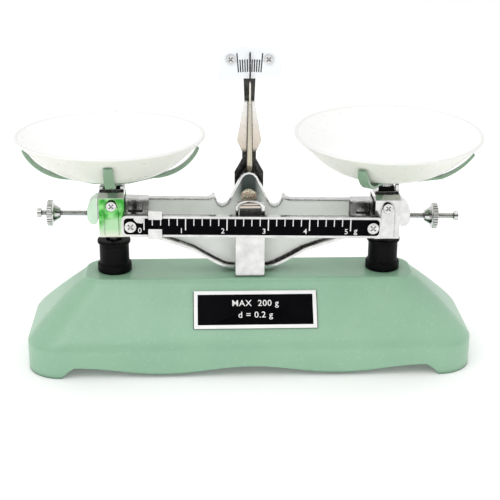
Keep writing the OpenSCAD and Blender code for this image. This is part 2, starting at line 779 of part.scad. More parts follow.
base_shell();
rating_plate();
sleeve(LEFT);  // left_sleeve
sleeve(RIGHT);  // right_sleeve
column();
column_screws();
centre_bearings();
dial_bracket();
bracket_screws();
dial_plate();
dial_screws();
stay_bracket();
stay_bracket_screws();
stay_pivot_pin();
on_beam() beam();
on_beam() centre_knife();
on_beam() end_knife(LEFT);  // left_end_knife
on_beam() end_knife(RIGHT);  // right_end_knife
on_beam() knife_boss();
on_beam() pointer();
on_beam() pointer_screw();
on_beam() scale_bar();
on_beam() scale_face();
on_beam() scale_screws();
on_beam() rod(LEFT);  // left_rod
on_beam() rod(RIGHT);  // right_rod
on_beam() rod_stops();
on_beam() nut(LEFT, left_nut_x);  // left_nut
on_beam() nut(RIGHT, right_nut_x);  // right_nut
on_beam() rider();
hung(LEFT) carrier(LEFT);  // left_carrier
hung(RIGHT) carrier(RIGHT);  // right_carrier
hung(LEFT) carrier_bearings(LEFT);  // left_carrier_bearings
hung(RIGHT) carrier_bearings(RIGHT);  // right_carrier_bearings
hung(LEFT) carrier_screws(LEFT);  // left_carrier_screws
hung(RIGHT) carrier_screws(RIGHT);  // right_carrier_screws
hung(LEFT) stem(LEFT);  // left_stem
hung(RIGHT) stem(RIGHT);  // right_stem
hung(LEFT) post(LEFT);  // left_post
hung(RIGHT) post(RIGHT);  // right_post
hung(LEFT) saddle(LEFT);  // left_saddle
hung(RIGHT) saddle(RIGHT);  // right_saddle
hung(LEFT) clamp_nut(LEFT);  // left_clamp_nut
hung(RIGHT) clamp_nut(RIGHT);  // right_clamp_nut
hung(LEFT) left_cradle();
hung(RIGHT) right_cradle();
hung(LEFT) cross_strip(LEFT, left_turn, left_tilt);  // left_cross_strip
hung(RIGHT) cross_strip(RIGHT, right_turn, right_tilt);  // right_cross_strip
hung(LEFT) cradle_screw(LEFT);  // left_cradle_screw
hung(RIGHT) cradle_screw(RIGHT);  // right_cradle_screw
hung(LEFT) pan(LEFT, left_tilt);  // left_pan
hung(RIGHT) pan(RIGHT, right_tilt);  // right_pan
on_stay() stay_bar();
on_stay() stay_end_pins();
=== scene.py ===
"""Looks of the equal arm table balance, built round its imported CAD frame. All lengths are metres."""
import json
import math

import bmesh
import bpy
from mathutils import Matrix, Vector


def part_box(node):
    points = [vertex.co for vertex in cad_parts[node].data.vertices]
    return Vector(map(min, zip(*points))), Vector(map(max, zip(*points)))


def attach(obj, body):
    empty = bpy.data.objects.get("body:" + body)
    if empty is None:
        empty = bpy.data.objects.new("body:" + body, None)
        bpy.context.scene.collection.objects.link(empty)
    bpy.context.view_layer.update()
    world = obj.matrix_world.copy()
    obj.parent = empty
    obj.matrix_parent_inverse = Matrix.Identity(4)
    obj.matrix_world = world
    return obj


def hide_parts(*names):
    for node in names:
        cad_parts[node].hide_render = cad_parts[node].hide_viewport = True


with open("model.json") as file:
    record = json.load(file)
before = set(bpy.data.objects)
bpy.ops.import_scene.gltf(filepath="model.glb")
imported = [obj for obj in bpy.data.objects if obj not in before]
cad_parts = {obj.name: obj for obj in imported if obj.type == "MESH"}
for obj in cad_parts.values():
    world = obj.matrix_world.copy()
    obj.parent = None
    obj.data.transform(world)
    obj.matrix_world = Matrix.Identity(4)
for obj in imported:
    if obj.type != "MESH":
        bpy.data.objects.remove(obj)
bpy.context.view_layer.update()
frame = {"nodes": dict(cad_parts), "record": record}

MM = 0.001
NODES = frame["nodes"]
LEFT, RIGHT = -1, 1
SIDE_NAMES = {LEFT: "left", RIGHT: "right"}
ARM = 77 * MM
JOINTS = {joint["name"]: joint for joint in frame["record"]["behaviour"]["joints"]}
PIVOT_Z = JOINTS["beam_rock"]["pos_m"][2]
# the unloaded beam rests a little right end down: its marks and threads are made level, then turned
BEAM_LEAN = math.radians(0.9)
ON_BEAM = (Matrix.Translation((0, 0, PIVOT_Z)) @ Matrix.Rotation(BEAM_LEAN, 4, "Y")
           @ Matrix.Translation((0, 0, -PIVOT_Z)))

# ------------------------------------------------------------------ camera

VIEW_AZIMUTH = math.radians(-2.52)
VIEW_ELEVATION = math.radians(21.04)
VIEW_ROLL = math.radians(0.38)
VIEW_DISTANCE = 0.700
VIEW_TARGET = Vector((0.0005, 0.0, 0.0596))
VIEW_LENS = 87.85


def make_camera():
    """The camera in front, a little left of the middle and above the pans."""
    flat = math.cos(VIEW_ELEVATION)
    back = Vector((math.sin(VIEW_AZIMUTH) * flat, -math.cos(VIEW_AZIMUTH) * flat,
                   math.sin(VIEW_ELEVATION)))
    right = Vector((0, 0, 1)).cross(back).normalized()
    up = back.cross(right)
    rolled_right = right * math.cos(VIEW_ROLL) + up * math.sin(VIEW_ROLL)
    rolled_up = up * math.cos(VIEW_ROLL) - right * math.sin(VIEW_ROLL)
    data = bpy.data.cameras.new("camera")
    data.lens = VIEW_LENS
    data.sensor_width = 36
    data.clip_start = 0.01
    camera = bpy.data.objects.new("camera", data)
    bpy.context.scene.collection.objects.link(camera)
    turn = Matrix((rolled_right, rolled_up, back)).transposed()
    camera.matrix_world = Matrix.Translation(VIEW_TARGET + back * VIEW_DISTANCE) @ turn.to_4x4()
    bpy.context.scene.camera = camera


make_camera()

# ------------------------------------------------------------------ materials

# the colour sockets of a Mix node, after its number and vector ones
MIX_A, MIX_B, MIX_RESULT = 6, 7, 2


class Nodes:
    """A node tree with short calls for the nodes that the looks are made of."""

    def __init__(self, tree):
        self.tree = tree

    def link(self, source, target):
        self.tree.links.new(source, target)

    def add(self, kind, **values):
        node = self.tree.nodes.new(kind)
        for key, value in values.items():
            setattr(node, key, value)
        return node

    def split(self, source):
        """The X, Y and Z of a vector."""
        node = self.add("ShaderNodeSeparateXYZ")
        self.link(source, node.inputs["Vector"])
        return node.outputs["X"], node.outputs["Y"], node.outputs["Z"]

    def spread(self, source, low, high, out_low=0.0, out_high=1.0):
        """A value mapped from one range to another, held at its ends."""
        node = self.add("ShaderNodeMapRange")
        ends = {"From Min": low, "From Max": high, "To Min": out_low, "To Max": out_high}
        for key, value in ends.items():
            node.inputs[key].default_value = value
        self.link(source, node.inputs["Value"])
        return node.outputs["Result"]

    def math(self, operation, a, b=0.0):
        """The result of an operation on one or two numbers or sockets."""
        node = self.add("ShaderNodeMath", operation=operation)
        for socket, value in zip(node.inputs, (a, b)):
            if isinstance(value, (int, float)):
                socket.default_value = value
            else:
                self.link(value, socket)
        return node.outputs["Value"]

    def mix(self, factor, a, b):
        """Two colours mixed by a factor. Each is a colour or a socket."""
        node = self.add("ShaderNodeMix", data_type="RGBA")
        self.link(factor, node.inputs["Factor"])
        for socket, value in ((node.inputs[MIX_A], a), (node.inputs[MIX_B], b)):
            if isinstance(value, tuple):
                socket.default_value = (*value, 1)
            else:
                self.link(value, socket)
        return node.outputs[MIX_RESULT]

    def ramp(self, source, stops):
        """A colour that follows a value, through (position, colour) stops."""
        node = self.add("ShaderNodeValToRGB")
        elements = node.color_ramp.elements
        while len(elements) < len(stops):
            elements.new(0.5)
        for element, (position, colour) in zip(elements, stops):
            element.position = position
            element.color = (*colour, 1)
        self.link(source, node.inputs["Fac"])
        return node.outputs["Color"]


class Shader(Nodes):
    """A surface material, with calls for the detail that varies over the surface."""

    def __init__(self, name):
        self.material = bpy.data.materials.new(name)
        self.material.use_nodes = True
        super().__init__(self.material.node_tree)
        self.bsdf = self.tree.nodes["Principled BSDF"]
        self.coords = self.add("ShaderNodeTexCoord")

    def place(self):
        """The X, Y and Z of the point, in metres."""
        return self.split(self.coords.outputs["Object"])

    def normal(self):
        """The X, Y and Z of the way the surface faces."""
        return self.split(self.coords.outputs["Normal"])

    def noise(self, scale, detail=3.0, stretch=(1, 1, 1)):
        """Noise from 0 to 1 at the object's own place."""
        place = self.add("ShaderNodeMapping")
        place.inputs["Scale"].default_value = stretch
        self.link(self.coords.outputs["Object"], place.inputs["Vector"])
        node = self.add("ShaderNodeTexNoise")
        node.inputs["Scale"].default_value = scale
        node.inputs["Detail"].default_value = detail
        self.link(place.outputs["Vector"], node.inputs["Vector"])
        return node.outputs["Fac"]

    def crevice(self, distance):
        """1 in the open and 0 in tight corners."""
        node = self.add("ShaderNodeAmbientOcclusion")
        node.samples = 8
        node.inputs["Distance"].default_value = distance
        return node.outputs["AO"]

    def colour(self, source):
        self.link(source, self.bsdf.inputs["Base Color"])

    def roughness(self, source):
        self.link(source, self.bsdf.inputs["Roughness"])

    def bump(self, height, strength, distance):
        node = self.add("ShaderNodeBump")
        node.inputs["Strength"].default_value = strength
        node.inputs["Distance"].default_value = distance
        self.link(height, node.inputs["Height"])
        self.link(node.outputs["Normal"], self.bsdf.inputs["Normal"])

    def set(self, **values):
        for key, value in values.items():
            self.bsdf.inputs[key.replace("_", " ")].default_value = value


def mint_paint(name, low, high):
    """Pale green sprayed paint with a fine orange peel, worn paler in places, and painted shade in its
    corners.
    """
    s = Shader(name)
    tone = s.mix(s.spread(s.noise(24, 5), 0.3, 0.7), low, high)
    flecks = s.spread(s.noise(420, 2), 0.60, 0.72)
    tone = s.mix(s.math("MULTIPLY", flecks, 0.18), tone, (0.45, 0.64, 0.50))
    # painted shade: the paint is darkened in tight corners
    corner_shade = s.spread(s.crevice(4 * MM), 0.25, 0.95)
    s.colour(s.mix(corner_shade, (0.140, 0.270, 0.175), tone))
    s.roughness(s.spread(s.noise(900, 2), 0.2, 0.8, 0.30, 0.44))
    s.bump(s.noise(700, 4), 0.6, 0.3 * MM)
    s.set(Coat_Weight=0.2, Coat_Roughness=0.2)
    return s.material


def chrome(name, tint=None, satin=None, corner=3 * MM):
    """Bright plating over a cast surface that still shows a faint ripple, with painted shade in its
    corners.
    """
    s = Shader(name)
    mottle = s.spread(s.noise(160, 5), 0.3, 0.7)
    tone = s.mix(mottle, (0.60, 0.60, 0.59), (0.80, 0.80, 0.79))
    rough = s.spread(s.noise(420, 4), 0.25, 0.75, 0.09, 0.24)
    if tint:
        tone = tint(s, tone)
    # painted shade: the plating is made near black in tight corners
    tone = s.mix(s.spread(s.crevice(corner), 0.35, 0.9), (0.07, 0.065, 0.06), tone)
    if satin:
        mask, web = satin(s)
        tone = s.mix(mask, tone, web)
        rough = s.math("ADD", rough, s.math("MULTIPLY", mask, 0.35))
        s.link(s.spread(mask, 0.0, 1.0, 1.0, 0.1), s.bsdf.inputs["Metallic"])
    else:
        s.set(Metallic=1.0)
    s.colour(tone)
    s.roughness(rough)
    s.bump(s.noise(520, 4), 0.22, 0.18 * MM)
    return s.material


def green_film(s, tone):
    """The clear green film on the left carrier. It is pale under a low arch and bare at the top."""
    x, _, z = s.place()
    middle, half, foot, rise = -(ARM - 1 * MM), 7.5 * MM, 75.5 * MM, 6.5 * MM
    across = s.math("DIVIDE", s.math("SUBTRACT", x, middle), half)
    arch = s.math("MULTIPLY", s.math("SUBTRACT", 1.0, s.math("MULTIPLY", across, across)), rise)
    above = s.math("SUBTRACT", s.math("SUBTRACT", z, foot), arch)
    ripple = s.math("MULTIPLY", s.math("SUBTRACT", s.noise(240, 3), 0.5), 7 * MM)
    film = s.spread(s.math("ADD", above, ripple), 0.0, 5 * MM)
    pale = s.mix(s.spread(z, 73 * MM, 78 * MM), (0.72, 0.74, 0.64), (0.42, 0.66, 0.40))
    deep = s.mix(s.spread(s.noise(260, 5), 0.38, 0.62), (0.05, 0.36, 0.05), (0.26, 0.68, 0.22))
    wrinkle = s.spread(s.noise(700, 4, (2.4, 1, 0.7)), 0.62, 0.70)
    deep = s.mix(s.math("MULTIPLY", wrinkle, 0.7), deep, (0.02, 0.10, 0.02))
    bare = s.spread(z, 94.9 * MM, 95.4 * MM)
    return s.mix(bare, s.mix(film, pale, deep), tone)


def left_end_tint(s, tone):
    """A pale green cast on the left end of the beam, beside the film."""
    near = s.spread(s.place()[0], -84.5 * MM, -86.0 * MM, 0.0, 0.6)
    return s.mix(near, tone, (0.42, 0.70, 0.44))


def beam_web(s):
    """Where the recessed web of the beam is, and its satin tone, with painted shade inside the hump."""
    x, y, z = s.place()
    facing = s.spread(s.math("ABSOLUTE", s.normal()[1]), 0.8, 0.9)
    thin = s.spread(s.math("ABSOLUTE", y), 1.7 * MM, 1.9 * MM, 1.0, 0.0)
    off_middle = s.math("ABSOLUTE", s.math("ADD", x, 0.6 * MM))
    narrow = s.spread(off_middle, 3.5 * MM, 9.5 * MM, 1.0, 0.0)
    # painted shade: the web is made near black inside the hump
    hump_shade = s.math("MULTIPLY", narrow, s.spread(z, 87 * MM, 95 * MM))
    plain = s.mix(s.spread(s.noise(70, 4), 0.3, 0.7), (0.86, 0.90, 0.84), (0.97, 0.98, 0.96))
    return s.math("MULTIPLY", facing, thin), s.mix(hump_shade, plain, (0.035, 0.055, 0.048))


def turned_steel():
    """Bright steel with fine turning marks, and painted shade in its grooves."""
    s = Shader("turned_steel")
    streak = s.spread(s.noise(350, 4, (1, 6, 6)), 0.3, 0.7)
    tone = s.mix(streak, (0.50, 0.50, 0.50), (0.84, 0.84, 0.83))
    # painted shade: the steel is made near black in its grooves
    groove_shade = s.spread(s.crevice(2 * MM), 0.45, 0.95)
    s.colour(s.mix(groove_shade, (0.03, 0.03, 0.03), tone))
    s.roughness(s.spread(s.noise(800, 3), 0.2, 0.8, 0.14, 0.32))
    s.bump(s.noise(1500, 2, (1, 8, 8)), 0.2, 0.1 * MM)
    s.set(Metallic=1.0)
    return s.material


def plastic(name, low, high, rough, bump_scale, bump_strength, gloss):
    """Moulded plastic or ink with a slight mottle and grain."""
    s = Shader(name)
    s.colour(s.mix(s.spread(s.noise(60, 4), 0.3, 0.7), low, high))
    s.roughness(s.spread(s.noise(260, 3), 0.25, 0.75, rough - 0.06, rough + 0.08))
    s.bump(s.noise(bump_scale, 3), bump_strength, 0.12 * MM)
    s.set(Specular_IOR_Level=gloss)
    return s.material


def pan_plastic():
    """Glossy white plastic, with painted shade: a darker cream on the bowl's downward faces and a greyer
    line on the crest of the lip.
    """
    s = Shader("pan_plastic")
    # painted shade: faces turned downwards are made a darker cream
    underside_shade = s.spread(s.normal()[2], -0.1, -0.45)
    mottle = s.spread(s.noise(60, 4), 0.3, 0.7)
    white = s.mix(mottle, (0.90, 0.90, 0.89), (0.93, 0.93, 0.92))
    cream = s.mix(mottle, (0.80, 0.80, 0.73), (0.86, 0.86, 0.79))
    # painted shade: the crest of the lip, marked by its attribute, is made greyer
    lip = s.add("ShaderNodeAttribute", attribute_name="lip").outputs["Fac"]
    s.colour(s.mix(lip, s.mix(underside_shade, white, cream), (0.78, 0.78, 0.76)))
    s.roughness(s.spread(s.noise(260, 3), 0.25, 0.75, 0.26, 0.34))
    s.bump(s.noise(90, 3), 0.02, 0.05 * MM)
    return s.material


def banded(name, stops, low, high, metallic):
    """A finish whose tone changes with height, through (height in mm, colour) stops."""
    s = Shader(name)
    height = s.spread(s.place()[2], low * MM, high * MM)
    tone = s.ramp(height, [((z - low) / (high - low), colour) for z, colour in stops])
    grain = s.spread(s.noise(500, 4), 0.3, 0.7)
    tone = s.mix(s.math("MULTIPLY", grain, 0.12), tone, (0.5, 0.5, 0.48))
    s.roughness(s.spread(s.noise(420, 4), 0.25, 0.75, 0.12, 0.3))
    s.bump(s.noise(520, 4), 0.2, 0.15 * MM)
    s.set(Metallic=metallic)
    return s, tone


def bracket_finish():
    """Plating with painted reflections by height: the dark room low and high, and a warm pale reflection
    on the blade between.
    """
    # painted reflections: dark bands and a warm pale band by height
    dark, warm, pale = (0.012, 0.012, 0.011), (0.62, 0.54, 0.45), (0.84, 0.83, 0.80)
    stops = ((60, dark), (115.5, dark), (118, warm), (129, (0.74, 0.68, 0.60)), (140, pale),
             (144.2, pale), (145.2, dark), (158, (0.02, 0.02, 0.018)), (176, pale))
    s, tone = banded("bracket_finish", stops, 50, 180, 0.85)
    s.colour(tone)
    return s.material


def pointer_finish():
    """Plated blade with dark edges, and tone bands by height that are painted reflections: warm on the
    blade, bright low on the needle and black at the dial.
    """
    pale, black = (0.80, 0.77, 0.68), (0.01, 0.01, 0.01)
    # painted reflections: the tone bands by height
    stops = ((96, (0.50, 0.46, 0.36)), (112, (0.66, 0.61, 0.48)), (146, (0.62, 0.59, 0.50)), (149, pale),
             (155.5, pale), (157, black), (174, black))
    s, tone = banded("pointer_finish", stops, 90, 180, 0.7)
    x, _, z = s.place()
    low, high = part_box("pointer")
    off_middle = s.math("ABSOLUTE", s.math("SUBTRACT", x, (low[0] + high[0]) / 2))
    width = s.spread(z, 108 * MM, 145 * MM, 1.15 * MM, 0.65 * MM)
    edge = s.spread(s.math("SUBTRACT", off_middle, width), 0.0, 0.35 * MM)
    s.colour(s.mix(edge, tone, (0.05, 0.045, 0.035)))
    return s.material


def agate():
    """Banded bearing stone, pale stripes over a near black foot."""
    beige, brown, black = (0.78, 0.68, 0.58), (0.10, 0.07, 0.05), (0.008, 0.008, 0.008)
    stops = ((84, black), (89.3, black), (89.7, beige), (90.5, beige), (90.8, brown), (91.2, brown),
             (91.4, beige), (92, beige), (92.3, brown), (93, brown))
    s, tone = banded("agate", stops, 80, 96, 0.0)
    s.colour(tone)
    return s.material


def brass():
    """Speckled plated brass."""
    s = Shader("brass")
    speckle = s.spread(s.noise(1700, 3), 0.42, 0.58)
    ruddy = s.spread(s.noise(300, 3), 0.5, 0.6)
    tone = s.mix(ruddy, (0.86, 0.82, 0.66), (0.66, 0.46, 0.36))
    s.colour(s.mix(speckle, (0.24, 0.20, 0.12), tone))
    s.roughness(s.spread(s.noise(1700, 3), 0.3, 0.7, 0.2, 0.45))
    s.bump(s.noise(1700, 3), 0.6, 0.2 * MM)
    s.set(Metallic=0.6)
    return s.material


MATERIALS = {
    "mint_paint": mint_paint("mint_paint", (0.262, 0.465, 0.315), (0.305, 0.515, 0.355)),
    # the same paint made darker on the cradle strips, as painted shade under the pans
    "strip_paint_shaded": mint_paint("strip_paint_shaded", (0.215, 0.345, 0.225), (0.255, 0.395, 0.265)),
    "chrome": chrome("chrome"),
    "chrome_beam": chrome("chrome_beam", left_end_tint, beam_web, 1.2 * MM),
    "green_film": chrome("green_film", green_film),
    "bracket_finish": bracket_finish(),
    "pointer_finish": pointer_finish(),
    "steel": turned_steel(),
    "pan_plastic": pan_plastic(),
    "agate": agate(),
    "brass": brass(),
}
# darkest and palest tone, roughness, grain scale, grain strength and gloss
PLASTICS = {
    "black_plastic": ((0.002, 0.002, 0.002), (0.006, 0.006, 0.006), 0.42, 1200, 0.3, 0.07),
    "white_plastic": ((0.90, 0.90, 0.885), (0.94, 0.94, 0.93), 0.24, 90, 0.05, 0.5),
    "label_black": ((0.001, 0.001, 0.002), (0.003, 0.003, 0.004), 0.40, 900, 0.12, 0.03),
    "dial_white": ((0.90, 0.93, 0.96), (0.95, 0.97, 0.99), 0.32, 700, 0.08, 0.5),
    "white_ink": ((0.84, 0.84, 0.83), (0.95, 0.95, 0.94), 0.45, 900, 0.1, 0.5),
    "black_ink": ((0.004, 0.004, 0.005), (0.012, 0.012, 0.014), 0.5, 900, 0.1, 0.15),
}
for plastic_name, plastic_look in PLASTICS.items():
    MATERIALS[plastic_name] = plastic(plastic_name, *plastic_look)

SLOT_OF = {row["node"]: row["material_slot"] for row in frame["record"]["subparts"]}
BODIES = frame["record"]["behaviour"]["bodies"]
BODY_OF = {node: body for body, nodes in BODIES.items() for node in nodes}
# nodes whose finish has more to it than that of their material slot
SPECIAL = {"left_carrier": "green_film", "beam": "chrome_beam", "dial_bracket": "bracket_finish",
           "pointer": "pointer_finish", "left_cradle": "strip_paint_shaded", "right_cradle": "strip_paint_shaded",
           "left_cross_strip": "strip_paint_shaded", "right_cross_strip": "strip_paint_shaded"}
# width in mm of the rounded edges of each hard piece
BEVELLED = {
    "beam": 0.3, "column": 0.5, "left_carrier": 0.5, "right_carrier": 0.5, "dial_bracket": 0.3,
    "left_cradle": 0.35, "right_cradle": 0.35, "left_cross_strip": 0.35, "right_cross_strip": 0.35,
    "left_post": 0.5, "right_post": 0.5, "left_saddle": 0.25, "right_saddle": 0.25, "rider": 0.2,
    "scale_bar": 0.3, "rating_plate": 0.2, "pointer": 0.2, "dial_plate": 0.2, "left_sleeve": 0.4,
    "right_sleeve": 0.4, "stay_bar": 0.5, "stay_bracket": 0.5, "knife_boss": 0.4,
}


def soften(obj, width):
    """Rounds the edges of a hard piece by a width in metres."""
    weld = obj.modifiers.new("weld", "WELD")
    weld.merge_threshold = 0.002 * MM
    bevel = obj.modifiers.new("bevel", "BEVEL")
    bevel.width = width
    bevel.segments = 3
    bevel.limit_method = "ANGLE"
    bevel.angle_limit = math.radians(28)
    bevel.harden_normals = True
    bevel.use_clamp_overlap = True


def dress(obj, material):
    obj.data.materials.clear()
    obj.data.materials.append(MATERIALS[material])


for node_name, node in NODES.items():
    dress(node, SPECIAL.get(node_name, SLOT_OF[node_name]))
    if node_name in BEVELLED:
        soften(node, BEVELLED[node_name] * MM)

# ------------------------------------------------------------------ mesh helpers

# points this close together are one
MERGE = 1e-7


def piece(name, mesh, material, body, stands_for=()):
    """A finished mesh as a piece of the object, on its body."""
    obj = bpy.data.objects.new(name, mesh)
    bpy.context.scene.collection.objects.link(obj)
    dress(obj, material)
    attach(obj, body)
    if stands_for:
        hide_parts(*stands_for)
    return obj


def mesh_of(name, bm, smooth=True):
    """A finished mesh from one that is being built, with its faces turned outwards."""
    bmesh.ops.remove_doubles(bm, verts=bm.verts, dist=MERGE)
    bmesh.ops.recalc_face_normals(bm, faces=bm.faces)
    mesh = bpy.data.meshes.new(name)
    bm.to_mesh(mesh)
    bm.free()
    if smooth:
        mesh.shade_smooth()
    return mesh


def between(a, b, count):
    """Points spaced evenly inside a straight line."""
    return [(a[0] + (b[0] - a[0]) * i / (count + 1), a[1] + (b[1] - a[1]) * i / (count + 1))
            for i in range(1, count + 1)]


def skin(bm, rings):
    """Faces between closed rings of points that have the same count."""
    rows = [[bm.verts.new(p) for p in ring] for ring in rings]
    count = len(rows[0])
    for low, high in zip(rows, rows[1:]):
        for i in range(count):
            j = (i + 1) % count
            bm.faces.new((low[i], low[j], high[j], high[i]))
    return rows


def lathe(profile, steps, shape=None):
    """A turned solid about Z through (radius, height) points. A shape may change a radius by angle."""
    bm = bmesh.new()
    rings = []
    for radius, height in profile:
        ring = []
        for i in range(steps):
            angle = 2 * math.pi * i / steps
            r = max(radius, MERGE)
            if shape:
                r = shape(r, height, angle)
            ring.append(Vector((r * math.cos(angle), r * math.sin(angle), height)))
        rings.append(ring)
    skin(bm, rings)
    return bm


# ------------------------------------------------------------------ base casting

BASE_X, BASE_Y, TOP_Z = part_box("base_shell")[1]
TOP_X = 91.5 * MM
TOP_Y = 15.4 * MM
TOP_EDGE = 1.6 * MM
WALL = 3.2 * MM
# heights between which the front and back turn from upright to sloping
TURN_LOW, TURN_HIGH = 13 * MM, 23 * MM
# the lower edge waves along the long sides up to here, then falls to the feet over a short length
WAVE_END = 98 * MM
WAVE_FALL = 6.5 * MM
WAVE_CREST, WAVE_TROUGH = 6.2 * MM, 2.0 * MM
# height above which the skirt no longer follows its wavy edge
WAVE_FADE = 9 * MM
# each short side has an arch, whose centre is this far below the table
ARCH_R, ARCH_DROP = 20.5 * MM, 16 * MM
FOOT_DEPTH = 16 * MM
FOOT_CORNER, TOP_CORNER = 20 * MM, 9 * MM


def swell(z, skirt_z, power):
    """How far a side has come out at a height, from 0 at the flat top to 1 at the skirt."""
    t = max(0.0, min(1.0, (z - skirt_z) / (TOP_Z - skirt_z)))
    return (1 - t ** power) ** (1 / power)


def half_x(z):
    """Half length of the base at a height."""
    return TOP_X + (BASE_X - TOP_X) * swell(z, 16.5 * MM, 1.1)


def half_y(z):
    """Half depth of the base at a height: upright, then a short bend, then a straight slope."""
    middle = (TURN_LOW + TURN_HIGH) / 2
    lean = (BASE_Y - TOP_Y) / (TOP_Z - middle)
    if z < TURN_LOW:
        return BASE_Y
    if z < TURN_HIGH:
        return BASE_Y - lean * (z - TURN_LOW) ** 2 / (2 * (TURN_HIGH - TURN_LOW))
    return BASE_Y - lean * (z - middle)


def corner(z):
    """Radius of the outline's corners at a height."""
    return TOP_CORNER + (FOOT_CORNER - TOP_CORNER) * swell(z, 10 * MM, 1.75)


def skirt_low(x, y):
    """Height of the wavy lower edge at a place on the outline."""
    along = abs(x)
    if along < WAVE_END:
        swing = math.cos(2 * math.pi * along / WAVE_END)
        return (WAVE_CREST + WAVE_TROUGH + (WAVE_CREST - WAVE_TROUGH) * swing) / 2
    if abs(y) > BASE_Y - FOOT_DEPTH:
        past = (along - WAVE_END) / WAVE_FALL
        return WAVE_CREST * (1 - past ** 2) if past < 1 else 0.0
    rise = ARCH_R ** 2 - y ** 2
    return max(0.0, math.sqrt(rise) - ARCH_DROP) if rise > 0 else 0.0


def plan_ring(z, hx, hy, r, long_steps=60, short_steps=20, corner_steps=14):
    """A level rounded rectangle of points, anticlockwise from the back end of its right side."""
    arcs = []
    for quarter, (sx, sy) in enumerate(((1, 1), (-1, 1), (-1, -1), (1, -1))):
        arc = []
        for i in range(corner_steps + 1):
            a = math.radians(90 * (quarter + i / corner_steps))
            arc.append((sx * (hx - r) + r * math.cos(a), sy * (hy - r) + r * math.sin(a)))
        arcs.append(arc)
    points = []
    for quarter, arc in enumerate(arcs):
        steps = long_steps if quarter % 2 == 0 else short_steps
        points += arc + between(arc[-1], arcs[(quarter + 1) % 4][0], steps - 1)
    return [Vector((x, y, z)) for x, y in points]


def wavy(ring):
    """A level ring, lifted to follow the wavy lower edge: fully at the table, and less with height."""
    return [p + Vector((0, 0, skirt_low(p.x, p.y) * max(0.0, 1 - p.z / WAVE_FADE))) for p in ring]


def base_casting():
    """The hollow base: wavy skirt, sloping sides with soft edges, flat top and an open underside."""
    bm = bmesh.new()
    last = TOP_Z - TOP_EDGE
    rings = []
    steps = 34
    for i in range(steps + 1):
        z = last * i / steps
        rings.append(wavy(plan_ring(z, half_x(z), half_y(z), corner(z))))
    hx, hy, r = half_x(last), half_y(last), corner(last)
    for a in (22.5, 45, 67.5, 90):
        inset = TOP_EDGE * (1 - math.cos(math.radians(a))) * 1.1
        rise = TOP_EDGE * math.sin(math.radians(a))
        rings.append(plan_ring(last + rise, hx - inset, hy - inset, r - inset))
    for inset in (3 * MM, 6 * MM):
        rings.append(plan_ring(TOP_Z, hx - inset, hy - inset, r - inset))
    outer = skin(bm, rings)
    bm.faces.new(outer[-1])
    inner_rings = []
    inner_top = TOP_Z - WALL - 0.5 * MM
    steps = 16
    for i in range(steps + 1):
        z = inner_top * i / steps
        # the inside follows an outline a little higher up, so that sloping walls keep their thickness
        level = min(z + 0.7 * WALL, TOP_Z)
        radius = max(corner(level) - WALL, 4 * MM)
        inner_rings.append(wavy(plan_ring(z, half_x(level) - WALL, half_y(level) - WALL, radius)))
    inner = skin(bm, inner_rings)
    bm.faces.new(inner[-1])
    count = len(outer[0])
    for i in range(count):
        j = (i + 1) % count
        bm.faces.new((outer[0][i], outer[0][j], inner[0][j], inner[0][i]))
    mesh = mesh_of("base_casting", bm)
    piece("base_casting", mesh, "mint_paint", BODY_OF["base_shell"], ["base_shell"])


base_casting()

# ------------------------------------------------------------------ pans

# forward lean of each cradle and its pan, about the seat, the point where the cradle's strips meet
LEAN = {LEFT: math.radians(-0.9), RIGHT: math.radians(2.5)}
SEAT_Z = {LEFT: 102.21 * MM, RIGHT: 102.79 * MM}
STRIP_T = 1.4 * MM
PAN_R = 52.5 * MM
PAN_WALL = 1.8 * MM
# heights of a pan's rim and bottom above the underside of its cradle
PAN_RIM = 28.3 * MM
PAN_BOTTOM = 5.7 * MM
# the bowl has a flat bottom, then an arc of this radius and angle, then a straight side to the lip
PAN_FLAT = 16 * MM
BOWL_R = 34.8 * MM
BOWL_TURN = 44
# the rolled lip from outside to inside, in mm inwards from the pan's radius and down from its rim
LIP = ((0.35, 1.5), (0.02, 1.1), (0.0, 0.6), (0.3, 0.15), (0.9, 0.0), (1.6, 0.15), (2.2, 0.75))


def bowl(inset, steps=9):
    """The bowl's arc from the flat bottom outwards, moved in by a wall thickness."""
    out = []
    for i in range(steps + 1):
        a = math.radians(BOWL_TURN * i / steps)
        r = BOWL_R - inset
        out.append((PAN_FLAT + r * math.sin(a), PAN_BOTTOM + BOWL_R - r * math.cos(a)))
    return out


